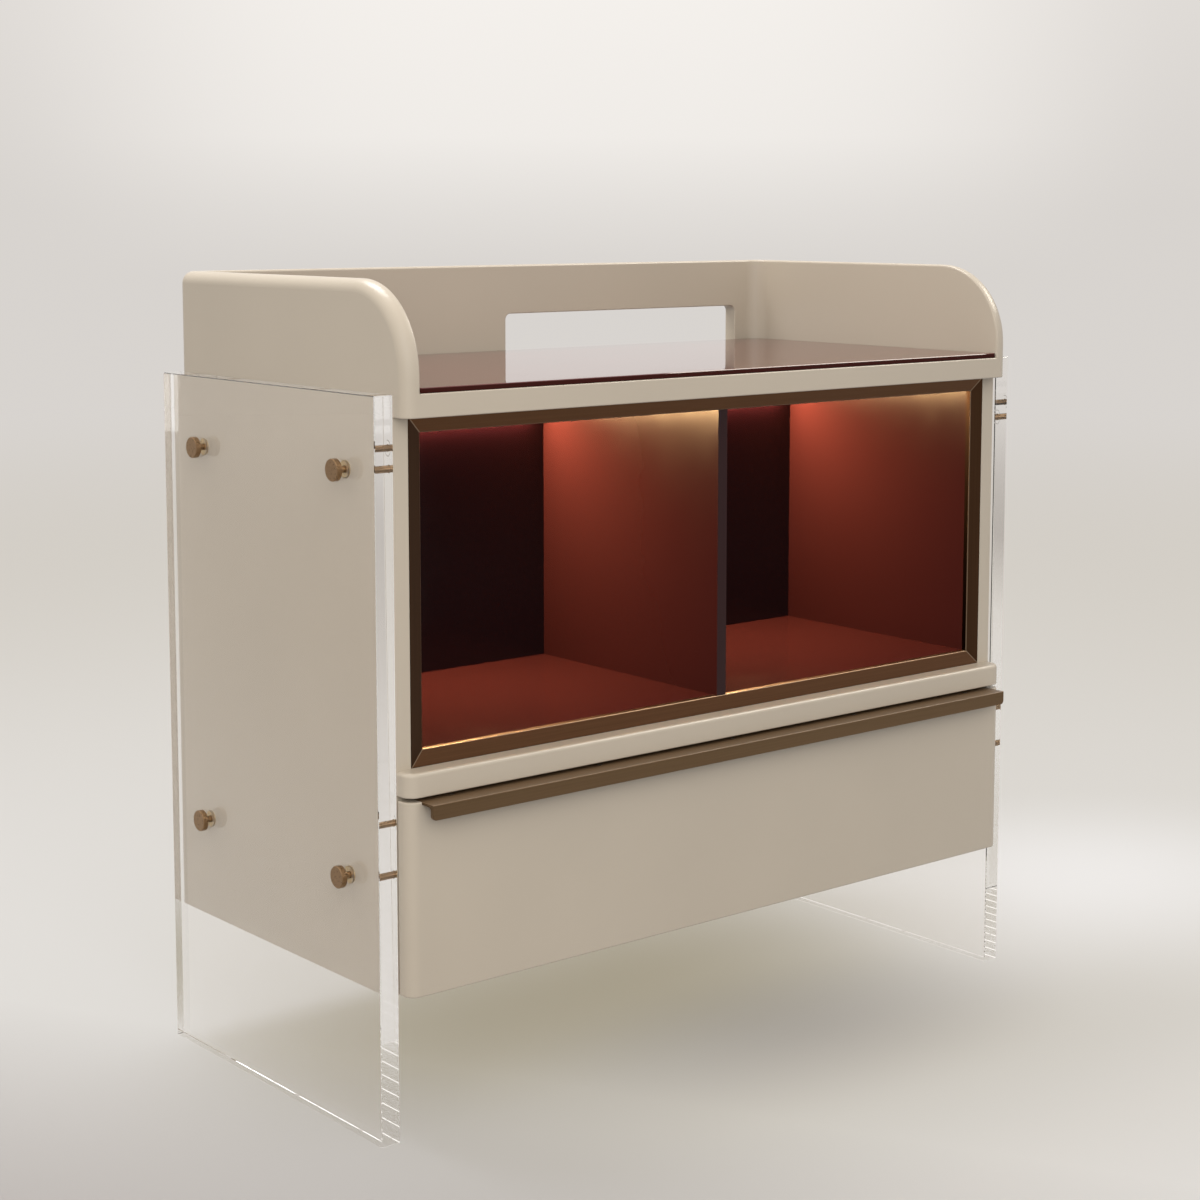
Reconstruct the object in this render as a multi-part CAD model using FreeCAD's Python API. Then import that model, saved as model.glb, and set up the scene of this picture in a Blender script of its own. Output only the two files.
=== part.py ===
import FreeCAD, Part
import math
import os

# Record cabinet: a lacquered carcass with a galleried tray top, a lit two-bay record
# compartment and one drawer, carried between two clear acrylic side panels.
# Millimetres. X to the right, Y to the rear, Z up from the floor. While the pieces are made,
# Y is counted from the front edge of the acrylic panels; the finished pieces are then moved
# so that the origin is at the middle of the footprint.

# Clear side panels and the bolts that carry the carcass
panel_span = 1000.0
acrylic_thick = 24.0
acrylic_depth = 448.0
acrylic_height = 816.0
acrylic_arris = 0.8
bolt_inset = 74.0
bolt_height_low = 285.5
bolt_top_inset = 83.5
bolt_head_diameter = 25.0
bolt_head_thick = 6.3
bolt_head_chamfer = 0.8
seat_ring = 1.2
seat_relief = 0.15
bolt_shank_diameter = 8.0
bolt_hole_clearance = 0.4
spacer_diameter = 20.0
spacer_thick = 1.5
insert_diameter = 12.0
insert_length = 14.0
insert_clearance = 0.05
bolt_end_gap = 1.5

# Carcass boards
side_board = 20.0
back_board = 20.0
bottom_board = 18.0
mid_board = 27.0
top_board = 26.0
ground_clearance = 165.5
drawer_zone = 219.5
compartment_zone = 379.5
gallery_rise = 118.5
gallery_nose_radius = 100.0
edge_round = 14.0
stile_set_back = 3.0
nose_reach = 20.5
back_overhang = 6.0
lip_top_round = 4.5
lip_bottom_round = 1.5
tray_lip_round = 1.5
stile_edge_round = 1.5
well_cove = 22.0
cove_land = 6.0
rim_round = 3.0
glass_thick = 6.0
glass_gap = 0.6
glass_front_set = 2.0
glass_arris = 0.8
glass_corner = 2.5
cutout_width = 411.0
cutout_height = 54.0
cutout_jamb = 43.0
cutout_corner = 8.0
cutout_edge_round = 1.5

# Record compartment: lacquered liner, divider and bevelled trim frame
liner_thick = 18.0
liner_back_thick = 16.0
service_cavity = 74.0
divider_thick = 14.4
frame_depth = 12.0
frame_bevel = 5.0
frame_inner_round = 1.6
frame_arris = 0.6

# Lighting in the upper rear corner of each bay
led_leg = 16.0
led_wall = 1.2
led_web_leg = 8.5
led_cover = 1.6
led_tape_width = 7.0
led_tape_thick = 1.0
led_end_cap = 1.5
led_end_gap = 8.0
lead_diameter = 4.0
lead_hole_clearance = 0.5
lead_offset = 40.0
lead_bend = 14.0
lead_height_drop = 10.5
driver_length = 150.0
driver_height = 40.0
driver_thick = 30.0
driver_rise = 60.0
driver_round = 3.0
driver_ear = 12.0
driver_ear_thick = 3.0
driver_screw_head = 6.0
driver_screw_head_height = 1.6
driver_screw_shank = 3.0
driver_screw_grip = 8.0
grommet_hole = 12.0
grommet_wall = 4.0
grommet_flange = 5.0
grommet_flange_thick = 2.0
grommet_clearance = 0.1
grommet_side_inset = 124.5
grommet_rise = 60.0

# Joinery
dowel_diameter = 8.0
dowel_in_side = 12.0
dowel_in_shelf = 20.0
dowel_clearance = 0.05
dowel_end_gap = 0.5
dowels_per_end = 3
dowel_edge_margin = 60.0
back_screws_per_row = 4
back_screw_margin = 60.0
screw_shank_diameter = 4.0
screw_head_diameter = 8.0
screw_head_height = 2.4
screw_clearance = 0.1
back_screw_grip = 16.0

# Drawer
front_gap = 3.0
bumper_clearance = 0.3
bumper_diameter = 8.0
bumper_margin = 30.0
drawer_top_gap = 4.5
front_edge_round = 1.5
box_side = 12.0
box_back = 12.0
box_inner_front = 12.0
box_floor = 6.0
box_floor_rise = 8.0
box_groove = 6.0
box_groove_clearance = 0.15
box_bottom_clearance = 14.0
box_top_clearance = 37.5
box_top_round = 3.0
drawer_rear_clearance = 29.0

# Edge pull
handle_end_inset = 17.0
handle_reach = 20.0
handle_flange = 3.0
handle_lip = 4.0
handle_lip_height = 17.0
handle_seat = 15.0
handle_inner_round = 4.0
handle_edge_round = 1.0
handle_arris = 0.6
handle_corner_round = 5.0
handle_seat_clearance = 0.2
handle_screws_count = 5
handle_screw_margin = 45.0
handle_screw_length = 16.0
handle_screw_shank = 3.0
handle_screw_head = 6.0
handle_screw_head_height = 1.6
front_screw_length = 24.0
front_screw_margin = 90.0
front_screw_rows = 35.0

# Telescopic runners
runner_space = 12.7
runner_height = 45.0
runner_wall = 1.2
runner_lip = 2.5
runner_clearance = 0.3
runner_tip_gap = 0.9
runner_set_back = 2.0
runner_rise = 45.0
runner_screw_shank = 3.4
runner_screw_head = 7.0
runner_screw_head_height = 1.6
runner_screw_length = 13.0
drawer_screw_length = 10.0
runner_screw_share = (0.1, 0.5, 0.8)

# Planes and edges that several pieces share
side_outer = panel_span / 2 - acrylic_thick - spacer_thick
side_inner = side_outer - side_board
nose_y = -nose_reach
stile_y = stile_set_back
rear_y = acrylic_depth + back_overhang
back_inner_y = rear_y - back_board
base_z = ground_clearance
drawer_floor_z = base_z + bottom_board
shelf_under_z = base_z + drawer_zone
shelf_top_z = shelf_under_z + mid_board
tray_under_z = shelf_top_z + compartment_zone
tray_top_z = tray_under_z + top_board
glass_top_z = tray_top_z + glass_thick
gallery_top_z = tray_top_z + gallery_rise
back_split_z = tray_under_z + top_board / 2

bay_half = side_inner - liner_thick
bay_floor_z = shelf_top_z + liner_thick
bay_top_z = tray_under_z - liner_thick
liner_front_y = stile_y + frame_depth
bay_rear_y = back_inner_y - service_cavity - liner_back_thick
liner_rear_y = bay_rear_y + liner_back_thick
divider_front_y = stile_y + frame_bevel

front_rear_y = stile_y - front_gap
front_top_z = shelf_under_z - drawer_top_gap
box_half = side_inner - runner_space
box_low_z = drawer_floor_z + box_bottom_clearance
box_high_z = shelf_under_z - box_top_clearance
box_rear_y = back_inner_y - drawer_rear_clearance
runner_front_y = stile_y + runner_set_back
runner_rear_y = box_rear_y
runner_z = box_low_z + runner_rise
handle_half = side_outer - handle_end_inset
handle_front_y = nose_y - handle_reach

bolt_heights = (bolt_height_low, acrylic_height - bolt_top_inset)
bolt_depths = (bolt_inset, acrylic_depth - bolt_inset)
bolt_places = [(y, z) for z in bolt_heights for y in bolt_depths]
sides = {"left": -1, "right": 1}
footprint_middle_y = (handle_front_y + rear_y) / 2

# How far a cutting tool runs past a face, and what counts as the same place
cut_past = 1.0
same_place = 0.001


def vec(x, y, z):
    return FreeCAD.Vector(x, y, z)


def box(x_range, y_range, z_range):
    (x0, x1), (y0, y1), (z0, z1) = sorted(x_range), sorted(y_range), sorted(z_range)
    return Part.makeBox(x1 - x0, y1 - y0, z1 - z0, vec(x0, y0, z0))


def rod(start, direction, diameter, length):
    return Part.makeCylinder(diameter / 2, length, start, direction)


def prism(points, sweep):
    """Closed polygon swept along a vector."""
    wire = Part.makePolygon(points + points[:1])
    return Part.Face(wire).extrude(sweep)


def along_x(section, x_range):
    """Polygon of (y, z) points between two x planes."""
    x0, x1 = sorted(x_range)
    return prism([vec(x0, y, z) for y, z in section], vec(x1 - x0, 0, 0))


def along_y(section, y_range):
    """Polygon of (x, z) points between two y planes."""
    y0, y1 = sorted(y_range)
    return prism([vec(x, y0, z) for x, z in section], vec(0, y1 - y0, 0))


def edges_where(shape, test):
    return [edge for edge in shape.Edges if test(edge.BoundBox)]


def flat(low, high, value):
    """True where a box side lies on one plane."""
    return abs(low - value) < same_place and abs(high - value) < same_place


def spread(low, high, count):
    """Evenly spaced places from low to high."""
    step = (high - low) / (count - 1)
    return [low + step * i for i in range(count)]


def countersunk(tip_plane, direction, head, head_height, shank, length, grow=0.0):
    """Screw whose flat head ends at the given point and whose shank runs along direction."""
    cone = Part.makeCone(head / 2 + grow, shank / 2 + grow, head_height, tip_plane, direction)
    body = rod(tip_plane, direction, shank + 2 * grow, length + grow)
    return cone.fuse(body).removeSplitter()


def pan_head(seat, direction, head, head_height, shank, length):
    """Screw with a round head that stands on its seat and a shank along direction."""
    top = Part.makeCylinder(head / 2, head_height, seat - direction * head_height, direction)
    body = rod(seat, direction, shank, length)
    return top.fuse(body).removeSplitter()


def cut_all(shape, tools):
    return shape.cut(Part.makeCompound(tools))


finished = {}


def keep(name, shape):
    """Move a finished piece, or a group of pieces, to the footprint's middle and keep it."""
    pieces = shape if isinstance(shape, list) else [shape]
    moved = []
    for piece in pieces:
        copy = piece.copy()
        copy.translate(vec(0, -footprint_middle_y, 0))
        moved.extend(copy.Solids)
    finished[name] = moved[0] if len(moved) == 1 else Part.makeCompound(moved)


# Bolts, spacers, inserts and the acrylic panels they clamp
def acrylic_panel(sign):
    outer = sign * panel_span / 2
    panel = box((outer, outer - sign * acrylic_thick), (0, acrylic_depth), (0, acrylic_height))
    panel = panel.makeChamfer(acrylic_arris, panel.Edges)
    hole = bolt_shank_diameter + 2 * bolt_hole_clearance
    inward = vec(-sign, 0, 0)
    return cut_all(panel, [rod(vec(outer, y, z), inward, hole, acrylic_thick) for y, z in bolt_places])


def seat_dish(seat, direction, diameter):
    """Shallow hollow that leaves a narrow bearing ring on a seat."""
    return rod(seat, direction, diameter - 2 * seat_ring, seat_relief)


def panel_bolt(sign, y, z):
    seat = sign * panel_span / 2
    inward = vec(-sign, 0, 0)
    head = rod(vec(seat, y, z), vec(sign, 0, 0), bolt_head_diameter, bolt_head_thick)
    face_x = seat + sign * bolt_head_thick
    rim = edges_where(head, lambda b: flat(b.XMin, b.XMax, face_x))
    head = head.makeChamfer(bolt_head_chamfer, rim)
    head = head.cut(seat_dish(vec(seat, y, z), vec(sign, 0, 0), bolt_head_diameter))
    shank_length = seat_relief + acrylic_thick + spacer_thick + insert_length - bolt_end_gap
    shank = rod(vec(seat + sign * seat_relief, y, z), inward, bolt_shank_diameter, shank_length)
    return head.fuse(shank).removeSplitter()


def panel_spacer(sign, y, z):
    start = vec(sign * side_outer, y, z)
    seat = vec(sign * (side_outer + spacer_thick), y, z)
    ring = rod(start, vec(sign, 0, 0), spacer_diameter, spacer_thick)
    hole = bolt_shank_diameter + 2 * bolt_hole_clearance
    bore = rod(start, vec(sign, 0, 0), hole, spacer_thick)
    return cut_all(ring, [bore, seat_dish(seat, vec(-sign, 0, 0), spacer_diameter)])


def threaded_insert(sign, y, z):
    start = vec(sign * side_outer, y, z)
    sleeve = rod(start, vec(-sign, 0, 0), insert_diameter, insert_length)
    bore = rod(start, vec(-sign, 0, 0), bolt_shank_diameter + 2 * insert_clearance, insert_length)
    return sleeve.cut(bore)


def insert_pockets(sign):
    pocket = insert_diameter + 2 * insert_clearance
    return [
        rod(vec(sign * side_outer, y, z), vec(-sign, 0, 0), pocket, insert_length + insert_clearance)
        for y, z in bolt_places
    ]


# Dowels between the side boards and what stands between them
def dowel_places():
    shelf_depths = spread(stile_y + dowel_edge_margin, back_inner_y - dowel_edge_margin, dowels_per_end)
    places = []
    for z in (base_z + bottom_board / 2, shelf_under_z + mid_board / 2, tray_under_z + top_board / 2):
        places += [(y, z) for y in shelf_depths]
    gallery_middle_y = back_inner_y + back_board / 2
    gallery_heights = spread(back_split_z + dowel_diameter * 2, gallery_top_z - edge_round * 2, 2)
    places += [(gallery_middle_y, z) for z in gallery_heights]
    return places


def dowel(sign, y, z, grow=0.0, end=0.0):
    start = vec(sign * (side_inner + dowel_in_side + end), y, z)
    length = dowel_in_side + dowel_in_shelf + 2 * end
    return rod(start, vec(-sign, 0, 0), dowel_diameter + 2 * grow, length)


def dowel_holes(sign):
    return [dowel(sign, y, z, dowel_clearance, dowel_end_gap) for y, z in dowel_places()]


# Screws that hold the removable service back
def back_screw_places():
    across = spread(-side_inner + back_screw_margin, side_inner - back_screw_margin, back_screws_per_row)
    rows = (
        base_z + bottom_board / 2,
        shelf_under_z + mid_board / 2,
        (tray_under_z + back_split_z) / 2,
    )
    return [(x, z) for z in rows for x in across]


def back_screw(x, z, grow=0.0):
    return countersunk(
        vec(x, rear_y, z), vec(0, -1, 0),
        screw_head_diameter, screw_head_height, screw_shank_diameter, back_board + back_screw_grip, grow,
    )


def back_screw_holes():
    return [back_screw(x, z, screw_clearance) for x, z in back_screw_places()]


# Outer form of the carcass: the side profile with its quarter-round nose, swept across and
# rolled over along the outer edges. The side boards and the gallery back are cut from it.
def carcass_form():
    arc_middle = gallery_nose_radius * (1 - math.sqrt(0.5))
    nose_top = vec(-side_outer, nose_y + gallery_nose_radius, gallery_top_z)
    nose_mid = vec(-side_outer, nose_y + arc_middle, gallery_top_z - arc_middle)
    nose_low = vec(-side_outer, nose_y, gallery_top_z - gallery_nose_radius)
    straight = [
        vec(-side_outer, nose_y, tray_under_z),
        vec(-side_outer, stile_y, tray_under_z),
        vec(-side_outer, stile_y, base_z),
        vec(-side_outer, rear_y, base_z),
        vec(-side_outer, rear_y, gallery_top_z),
    ]
    corners = [nose_low] + straight + [nose_top]
    edges = [Part.LineSegment(a, b).toShape() for a, b in zip(corners, corners[1:])]
    edges.append(Part.Arc(nose_top, nose_mid, nose_low).toShape())
    form = Part.Face(Part.Wire(edges)).extrude(vec(2 * side_outer, 0, 0))

    def rolled(b):
        on_end = flat(b.XMin, b.XMax, -side_outer) or flat(b.XMin, b.XMax, side_outer)
        upright = b.ZMax - b.ZMin > same_place
        at_nose = flat(b.YMin, b.YMax, nose_y) and upright
        at_rear = flat(b.YMin, b.YMax, rear_y) and upright
        at_top = flat(b.ZMin, b.ZMax, gallery_top_z)
        on_arc = b.YMax - b.YMin > same_place and upright
        rear_top = at_top and flat(b.YMin, b.YMax, rear_y)
        return rear_top or (on_end and (at_nose or at_top or at_rear or on_arc))

    return form.makeFillet(edge_round, edges_where(form, rolled))


# The same form with the well above the tray, which is coved in its rear corners and eased
# along its rim. The underside of the nose is eased as well.
def gallery_form():
    depth = (nose_y - cut_past, back_inner_y)
    well = box((-side_inner, side_inner), depth, (tray_top_z, gallery_top_z + cut_past))
    rear = edges_where(well, lambda b: flat(b.YMin, b.YMax, back_inner_y) and b.XMax - b.XMin < same_place)
    form = carcass_form().cut(well.makeFillet(well_cove, rear))

    def rim(b):
        within = max(-b.XMin, b.XMax) < side_inner + same_place and b.YMax < back_inner_y + same_place
        at_top = flat(b.ZMin, b.ZMax, gallery_top_z)
        on_wall = flat(b.XMin, b.XMax, -side_inner) or flat(b.XMin, b.XMax, side_inner)
        at_nose = b.ZMax - b.ZMin > same_place and b.YMax < nose_y + gallery_nose_radius + same_place
        return within and (at_top or (on_wall and at_nose))

    def nose_under(b):
        return flat(b.YMin, b.YMax, nose_y) and flat(b.ZMin, b.ZMax, tray_under_z)

    form = form.makeFillet(rim_round, edges_where(form, rim))
    return form.makeFillet(tray_lip_round, edges_where(form, nose_under))


def cove_landing(form, sign):
    """The part of a rear cove that belongs to the side board, so that the joint has no thin edge."""
    span = (sign * side_inner, sign * (side_inner - cove_land))
    return form.common(box(span, (back_inner_y - well_cove, rear_y), (tray_top_z, gallery_top_z)))


def side_panel(form, sign):
    span = (sign * side_inner, sign * side_outer)
    board = form.common(box(span, (nose_y, rear_y), (base_z, gallery_top_z)))
    inner_x = sign * side_inner
    stile = edges_where(board, lambda b: flat(b.XMin, b.XMax, inner_x) and flat(b.YMin, b.YMax, stile_y))
    board = board.makeFillet(stile_edge_round, stile)
    board = board.fuse(cove_landing(form, sign)).removeSplitter()
    runner_pilots = [runner_screw_pilot(sign, y) for y in runner_screw_places()]
    return cut_all(board, insert_pockets(sign) + dowel_holes(sign) + runner_pilots)


def gallery_back(form):
    reach = side_inner - cove_land
    upper = box((-reach, reach), (back_inner_y - well_cove, rear_y), (tray_top_z, gallery_top_z))
    lower = box((-side_inner, side_inner), (back_inner_y, rear_y), (back_split_z, tray_top_z))
    board = form.common(upper).fuse(form.common(lower)).removeSplitter()
    right = side_inner - cutout_jamb
    head_z = tray_top_z + cutout_height
    through = (back_inner_y - cut_past, rear_y + cut_past)
    opening = box((right - cutout_width, right), through, (tray_top_z, head_z))
    corners = edges_where(opening, lambda b: b.YMax - b.YMin > back_board and flat(b.ZMin, b.ZMax, head_z))
    board = board.cut(opening.makeFillet(cutout_corner, corners))

    def opening_edge(b):
        on_face = flat(b.YMin, b.YMax, back_inner_y) or flat(b.YMin, b.YMax, rear_y)
        across = b.XMin > right - cutout_width - same_place and b.XMax < right + same_place
        upright = b.ZMin > tray_top_z - same_place and b.ZMax < head_z + same_place
        return on_face and across and upright and not flat(b.ZMin, b.ZMax, tray_top_z)

    board = board.makeFillet(cutout_edge_round, edges_where(board, opening_edge))
    return cut_all(board, dowel_holes(-1) + dowel_holes(1))


def service_back():
    board = box((-side_inner, side_inner), (back_inner_y, rear_y), (base_z, back_split_z))
    x, z = grommet_place()
    hole = grommet_hole + 2 * grommet_wall + 2 * grommet_clearance
    flange = hole + 2 * grommet_flange
    through = rod(vec(x, rear_y, z), vec(0, -1, 0), hole, back_board)
    recess = rod(vec(x, rear_y, z), vec(0, -1, 0), flange, grommet_flange_thick)
    return cut_all(board, [through, recess] + back_screw_holes())


def bottom_shelf():
    board = box((-side_inner, side_inner), (stile_y, back_inner_y), (base_z, drawer_floor_z))
    return cut_all(board, dowel_holes(-1) + dowel_holes(1) + back_screw_holes())


def nosed_lip(depth, z_range, top_round, bottom_round):
    """Full-width strip on the forward plane with rounded plan corners and an eased rim."""
    low_z, high_z = z_range
    strip = box((-side_outer, side_outer), (nose_y, nose_y + depth), z_range)
    corners = edges_where(strip, lambda b: flat(b.YMin, b.YMax, nose_y) and b.XMax - b.XMin < same_place)
    strip = strip.makeFillet(edge_round, corners)
    for rim_z, radius in ((high_z, top_round), (low_z, bottom_round)):
        rim = edges_where(strip, lambda b: flat(b.YMin, b.YMax, nose_y) and flat(b.ZMin, b.ZMax, rim_z))
        strip = strip.makeFillet(radius, rim)
    return strip


def mid_shelf():
    lip = nosed_lip(stile_y - nose_y, (shelf_under_z, shelf_top_z), lip_top_round, lip_bottom_round)
    board = box((-side_inner, side_inner), (stile_y, back_inner_y), (shelf_under_z, shelf_top_z))
    shelf = board.fuse(lip).removeSplitter()
    return cut_all(shelf, dowel_holes(-1) + dowel_holes(1) + back_screw_holes())


def tray_board():
    board = box((-side_inner, side_inner), (nose_y, back_inner_y), (tray_under_z, tray_top_z))
    lip = edges_where(board, lambda b: flat(b.YMin, b.YMax, nose_y) and b.ZMax - b.ZMin < same_place)
    board = board.makeFillet(tray_lip_round, lip)
    return cut_all(board, dowel_holes(-1) + dowel_holes(1) + back_screw_holes())


def glass_top():
    half = side_inner - glass_gap
    front_y, back_y = nose_y + glass_front_set, back_inner_y - glass_gap
    pane = box((-half, half), (front_y, back_y), (tray_top_z, glass_top_z))
    for corner_y, radius in ((front_y, glass_corner), (back_y, well_cove - glass_gap)):
        corners = edges_where(pane, lambda b: flat(b.YMin, b.YMax, corner_y) and b.XMax - b.XMin < same_place)
        pane = pane.makeFillet(radius, corners)
    outline = edges_where(pane, lambda b: b.ZMax - b.ZMin < same_place)
    return pane.makeChamfer(glass_arris, outline)


# Trim frame round the compartment: four members with a sloped face, mitred at the corners
def frame_member(outer_start, outer_end, inner_start, inner_end):
    """Bar between an outer edge and an inner edge, each given as two (x, z) points."""
    ring = [outer_start, outer_end, inner_end, inner_start]
    set_in = (0, 0, frame_bevel, frame_bevel)
    front = [vec(x, stile_y + s, z) for (x, z), s in zip(ring, set_in)]
    rear = [vec(x, stile_y + frame_depth, z) for x, z in ring]
    loops = [front, rear] + [[front[i], front[i - 1], rear[i - 1], rear[i]] for i in range(4)]
    faces = [Part.Face(Part.makePolygon(loop + loop[:1])) for loop in loops]
    bar = Part.Solid(Part.Shell(faces))
    bar.fix(1e-4, 1e-4, 1e-4)

    def long_edge(set_back):
        return edges_where(bar, lambda b: flat(b.YMin, b.YMax, stile_y + set_back))

    bar = bar.makeFillet(frame_inner_round, long_edge(frame_bevel))
    return bar.makeChamfer(frame_arris, long_edge(0))


def frame_members():
    outer = [(-side_inner, shelf_top_z), (side_inner, shelf_top_z),
             (side_inner, tray_under_z), (-side_inner, tray_under_z)]
    inner = [(-bay_half, bay_floor_z), (bay_half, bay_floor_z),
             (bay_half, bay_top_z), (-bay_half, bay_top_z)]
    names = ("bottom", "right", "top", "left")
    return {
        name: frame_member(outer[i], outer[(i + 1) % 4], inner[i], inner[(i + 1) % 4])
        for i, name in enumerate(names)
    }


# Compartment liner
def liner_back():
    board = box((-bay_half, bay_half), (bay_rear_y, liner_rear_y), (bay_floor_z, bay_top_z))
    return cut_all(board, [lead_hole(sign) for sign in sides.values()] + driver_screw_holes())


# Lights: corner channels, their tapes and covers, leads and driver
def corner_section(points):
    """(forward, down) distances from the bay's upper rear corner as (y, z) points."""
    return [(bay_rear_y - forward, bay_top_z - down) for forward, down in points]


def light_span(sign):
    near = divider_thick / 2 + led_end_gap
    far = bay_half - led_end_gap
    return sign * near, sign * far


def tube_span(sign):
    near, far = light_span(sign)
    return near + sign * led_end_cap, far - sign * led_end_cap


def led_channel(sign):
    band = led_wall * math.sqrt(2)
    legs = [(0, 0), (led_leg, 0), (led_leg, led_wall),
            (led_wall, led_wall), (led_wall, led_leg), (0, led_leg)]
    web = [(led_web_leg, led_wall), (led_wall, led_web_leg),
           (led_wall, led_web_leg - band), (led_web_leg - band, led_wall)]
    body = along_x(corner_section(legs), tube_span(sign))
    body = body.fuse(along_x(corner_section(web), tube_span(sign))).removeSplitter()
    return body.cut(lead_hole(sign))


def led_cover_strip(sign):
    band = led_cover * math.sqrt(2)
    strip = [(led_leg, led_wall), (led_wall, led_leg),
             (led_wall, led_leg - band), (led_leg - band, led_wall)]
    return along_x(corner_section(strip), tube_span(sign))


def led_tape(sign):
    middle = (led_web_leg + led_wall) / 2
    along = led_tape_width / 2 * math.sqrt(0.5)
    out = led_tape_thick * math.sqrt(0.5)
    strip = [(middle + along, middle - along), (middle - along, middle + along),
             (middle - along + out, middle + along + out), (middle + along + out, middle - along + out)]
    return along_x(corner_section(strip), tube_span(sign))


def led_end_caps():
    wedge = [(0, 0), (led_leg, 0), (led_leg, led_wall), (led_wall, led_leg), (0, led_leg)]
    caps = []
    for sign in sides.values():
        for outer, inner in zip(light_span(sign), tube_span(sign)):
            caps.append(along_x(corner_section(wedge), (outer, inner)))
    return caps


def lead_height():
    return bay_top_z - lead_height_drop


def lead_hole(sign):
    start = vec(sign * lead_offset, bay_rear_y - led_wall, lead_height())
    return rod(start, vec(0, 1, 0), lead_diameter + 2 * lead_hole_clearance, liner_back_thick + led_wall)


def driver_low_z():
    return bay_floor_z + driver_rise


def driver_middle_y():
    return liner_rear_y + driver_thick / 2


def led_lead(sign):
    """Lead from the channel through the liner back, then down into the driver."""
    x = sign * lead_offset
    z = lead_height()
    drop_y = driver_middle_y()
    bend_y = drop_y - lead_bend
    half_turn = lead_bend * math.sqrt(0.5)
    bend_start = vec(x, bend_y, z)
    bend_middle = vec(x, bend_y + half_turn, z - lead_bend + half_turn)
    bend_end = vec(x, drop_y, z - lead_bend)
    start = vec(x, bay_rear_y - led_wall, z)
    path = Part.Wire([
        Part.LineSegment(start, bend_start).toShape(),
        Part.Arc(bend_start, bend_middle, bend_end).toShape(),
        Part.LineSegment(bend_end, vec(x, drop_y, driver_low_z() + driver_height)).toShape(),
    ])
    ring = Part.Wire(Part.makeCircle(lead_diameter / 2, start, vec(0, 1, 0)))
    return path.makePipeShell([ring], True, False)


def driver_screw_places():
    reach = driver_length / 2 + driver_ear / 2
    return [(sign * reach, driver_low_z() + driver_height / 2) for sign in sides.values()]


def driver_screw(x, z, grow=0.0):
    return countersunk(
        vec(x, liner_rear_y + driver_ear_thick, z), vec(0, -1, 0),
        driver_screw_head, driver_screw_head_height,
        driver_screw_shank, driver_ear_thick + driver_screw_grip, grow,
    )


def driver_screw_holes():
    return [driver_screw(x, z, screw_clearance) for x, z in driver_screw_places()]


def led_driver():
    heights = (driver_low_z(), driver_low_z() + driver_height)
    half = driver_length / 2
    rear = liner_rear_y + driver_thick
    case = box((-half, half), (liner_rear_y, rear), heights)
    case = case.makeFillet(driver_round, edges_where(case, lambda b: flat(b.YMin, b.YMax, rear)))
    reach = half + driver_ear
    ears = box((-reach, reach), (liner_rear_y, liner_rear_y + driver_ear_thick), heights)
    return cut_all(case.fuse(ears).removeSplitter(), driver_screw_holes())


def grommet_place():
    return side_inner - grommet_side_inset, bay_floor_z + grommet_rise


def cable_grommet():
    x, z = grommet_place()
    outer = grommet_hole + 2 * grommet_wall
    start = vec(x, rear_y, z)
    inward = vec(0, -1, 0)
    tube = rod(start, inward, outer, back_board)
    flange = rod(start, inward, outer + 2 * grommet_flange, grommet_flange_thick)
    return tube.fuse(flange).cut(rod(start, inward, grommet_hole, back_board)).removeSplitter()


# Drawer
def drawer_front():
    z_range = (base_z, front_top_z)
    board = nosed_lip(front_rear_y - nose_y, z_range, front_edge_round, front_edge_round)
    seat_half = handle_half + handle_seat_clearance
    seat = box((-seat_half, seat_half), (nose_y - cut_past, nose_y + handle_seat + handle_seat_clearance),
               (front_top_z - handle_flange, front_top_z + cut_past))
    return cut_all(board, [seat] + handle_screw_holes() + front_screw_holes())


def drawer_handle():
    top = front_top_z
    inner = handle_front_y + handle_lip
    flange_low = top - handle_flange
    lip_low = top - handle_lip_height
    section = [(nose_y + handle_seat, top), (handle_front_y, top), (handle_front_y, lip_low),
               (inner, lip_low), (inner, flange_low), (nose_y + handle_seat, flange_low)]
    bar = along_x(section, (-handle_half, handle_half))
    bend = edges_where(bar, lambda b: flat(b.YMin, b.YMax, inner) and flat(b.ZMin, b.ZMax, flange_low))
    bar = bar.makeFillet(handle_inner_round, bend)
    nose = edges_where(bar, lambda b: flat(b.YMin, b.YMax, handle_front_y) and flat(b.ZMin, b.ZMax, top))
    bar = bar.makeFillet(handle_edge_round, nose)
    ends = edges_where(bar, lambda b: flat(b.ZMin, b.ZMax, lip_low) and b.XMax - b.XMin < same_place)
    bar = bar.makeFillet(handle_corner_round, ends)
    outline = edges_where(bar, lambda b: flat(b.YMin, b.YMax, handle_front_y) and b.ZMin < flange_low)
    bar = bar.makeFillet(handle_arris, outline)
    return cut_all(bar, handle_screw_holes())


def handle_screw(x, grow=0.0):
    return countersunk(
        vec(x, nose_y + handle_seat / 2, front_top_z), vec(0, 0, -1), handle_screw_head,
        handle_screw_head_height, handle_screw_shank, handle_screw_length, grow,
    )


def handle_screw_places():
    reach = handle_half - handle_screw_margin
    return spread(-reach, reach, handle_screws_count)


def handle_screw_holes():
    return [handle_screw(x, screw_clearance) for x in handle_screw_places()]


def front_screw_places():
    reach = box_half - box_side - front_screw_margin
    heights = (box_low_z + front_screw_rows, box_high_z - front_screw_rows)
    return [(x, z) for z in heights for x in (-reach, 0, reach)]


def front_screw(x, z, grow=0.0):
    return countersunk(
        vec(x, front_rear_y + box_inner_front, z), vec(0, -1, 0),
        screw_head_diameter, screw_head_height, screw_shank_diameter, front_screw_length, grow,
    )


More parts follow.
